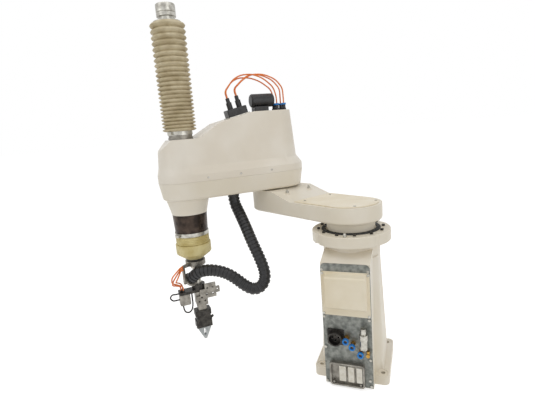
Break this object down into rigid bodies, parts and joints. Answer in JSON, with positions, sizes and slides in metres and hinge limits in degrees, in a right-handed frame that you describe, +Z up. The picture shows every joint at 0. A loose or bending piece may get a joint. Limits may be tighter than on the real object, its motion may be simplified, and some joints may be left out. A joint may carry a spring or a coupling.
{
  "type": "scara robot",
  "caption": "Four-axis horizontal arm robot on a pedestal, with a bellows-covered spline shaft, a hanging link conduit and a small parallel gripper.",
  "frame": {"origin": "on the first axis at the underside of the foot", "axes": "+Z up along the first axis, +X away from the connector panel"},
  "size_m": [0.4465, 0.7757, 1.229],
  "materials": {
    "cream_casting": "satin",
    "cream_plastic": "satin",
    "cream_sheet": "satin",
    "galvanised_sheet": "matte",
    "zinc_steel": "satin",
    "dark_steel": "satin",
    "sleeve_steel": "satin",
    "grey_aluminium": "matte",
    "black_rubber": "matte",
    "black_plastic": "matte",
    "blue_plastic": "gloss",
    "white_plastic": "satin",
    "white_bellows": "satin",
    "yellow_bellows": "satin",
    "orange_tube": "gloss",
    "brass": "satin",
    "clear_plastic": "gloss",
    "belt_rubber": "matte"
  },
  "bodies": {
    "base": {"base_casting": "cream_casting", "flange_bolts": "dark_steel", "j1_stop_bolt": "zinc_steel", "base_seal_ring": "black_rubber", "j1_reducer": "zinc_steel", "j1_motor": "dark_steel", "panel_plate": "galvanised_sheet", "panel_screws": "zinc_steel", "connector_box": "cream_sheet", "power_connector": "dark_steel", "multipole_connector": "grey_aluminium", "connector_inserts": "white_plastic", "air_fittings": "brass", "air_fitting_rings": "blue_plastic", "exhaust_silencer": "zinc_steel"},
    "arm_1": {"arm_1_casting": "cream_casting", "arm_1_cover": "cream_sheet", "arm_1_cover_screws": "zinc_steel", "j2_stop_bolts": "zinc_steel", "j2_output_flange": "zinc_steel"},
    "arm_2": {"arm_2_casting": "cream_casting", "arm_2_cover": "cream_plastic", "arm_2_cover_screws": "zinc_steel", "j2_reducer": "zinc_steel", "j2_motor": "dark_steel", "drive_plate": "grey_aluminium", "axis_motors": "dark_steel", "drive_belts": "belt_rubber", "bellows_collar": "grey_aluminium", "upper_clamp": "zinc_steel", "upper_bellows": "white_bellows", "lower_sleeve": "sleeve_steel", "lower_clamp": "zinc_steel", "lower_bellows": "yellow_bellows", "conduit_gland": "black_plastic", "conduit": "black_plastic", "top_bracket": "zinc_steel", "connector_block": "black_plastic", "cable_plugs": "black_plastic", "solenoid_valve": "black_plastic", "top_fittings": "black_plastic", "top_fitting_rings": "blue_plastic", "top_air_lines": "orange_tube"},
    "z_carriage": {"shaft_cap": "zinc_steel", "lower_collar": "dark_steel", "conduit_holder": "grey_aluminium", "tool_air_lines": "orange_tube"},
    "tool_shaft": {"spline_shaft": "zinc_steel", "tool_clamp": "dark_steel", "tool_bracket": "grey_aluminium", "gripper_adapter": "grey_aluminium", "tool_block": "grey_aluminium", "gripper_body": "dark_steel", "tool_cables": "black_rubber"},
    "left_finger": {"finger_left": "clear_plastic"},
    "right_finger": {"finger_right": "clear_plastic"},
    "spline_nut_rotor": {"spline_nut": "zinc_steel"},
    "screw_nut_rotor": {"screw_nut": "zinc_steel"},
    "turn_motor_rotor": {"turn_motor_pulley": "zinc_steel"},
    "lift_motor_rotor": {"lift_motor_pulley": "zinc_steel"}
  },
  "joints": [
    {"name": "j1", "type": "hinge", "parent": "base", "child": "arm_1", "pos_m": [0, 0, 0], "axis": [0, 0, 1], "range_deg": [-224.7, 105.3]},
    {"name": "j2", "type": "hinge", "parent": "arm_1", "child": "arm_2", "pos_m": [0.17658, 0.30219, 0], "axis": [0, 0, 1], "range_deg": [-210.3, 51.7]},
    {"name": "j3", "type": "slide", "parent": "arm_2", "child": "z_carriage", "axis": [0, 0, 1], "range_m": [-0.2, 0], "deforming": ["upper_bellows", "lower_bellows", "conduit"]},
    {"name": "j4", "type": "hinge", "parent": "z_carriage", "child": "tool_shaft", "pos_m": [-0.06211, 0.55816, 0], "axis": [0, 0, 1], "range_deg": [-180, 180], "deforming": ["tool_air_lines"]},
    {"name": "finger_left_slide", "type": "slide", "parent": "tool_shaft", "child": "left_finger", "axis": [-0.682, 0.7314, 0], "range_m": [0, 0.006]},
    {"name": "finger_right_slide", "type": "slide", "parent": "tool_shaft", "child": "right_finger", "axis": [-0.682, 0.7314, 0], "range_m": [-0.006, 0]},
    {"name": "screw_nut_spin", "type": "hinge", "parent": "arm_2", "child": "screw_nut_rotor", "pos_m": [-0.06211, 0.55816, 0], "axis": [0, 0, 1], "range_deg": [-3601, 1]},
    {"name": "lift_motor_spin", "type": "hinge", "parent": "arm_2", "child": "lift_motor_rotor", "pos_m": [0.03678, 0.45212, 0], "axis": [0, 0, 1], "range_deg": [-7202, 2]},
    {"name": "spline_nut_spin", "type": "hinge", "parent": "arm_2", "child": "spline_nut_rotor", "pos_m": [-0.06211, 0.55816, 0], "axis": [0, 0, 1], "range_deg": [-180, 180]},
    {"name": "turn_motor_spin", "type": "hinge", "parent": "arm_2", "child": "turn_motor_rotor", "pos_m": [0.09338, 0.39141, 0], "axis": [0, 0, 1], "range_deg": [-360, 360]}
  ],
  "couplings": [
    {"joint": "finger_right_slide", "follows": "finger_left_slide", "ratio": -1},
    {"joint": "screw_nut_spin", "follows": "j3", "rad_per_m": 314.16},
    {"joint": "lift_motor_spin", "follows": "j3", "rad_per_m": 628.32},
    {"joint": "spline_nut_spin", "follows": "j4", "ratio": 1},
    {"joint": "turn_motor_spin", "follows": "j4", "ratio": 2}
  ]
}
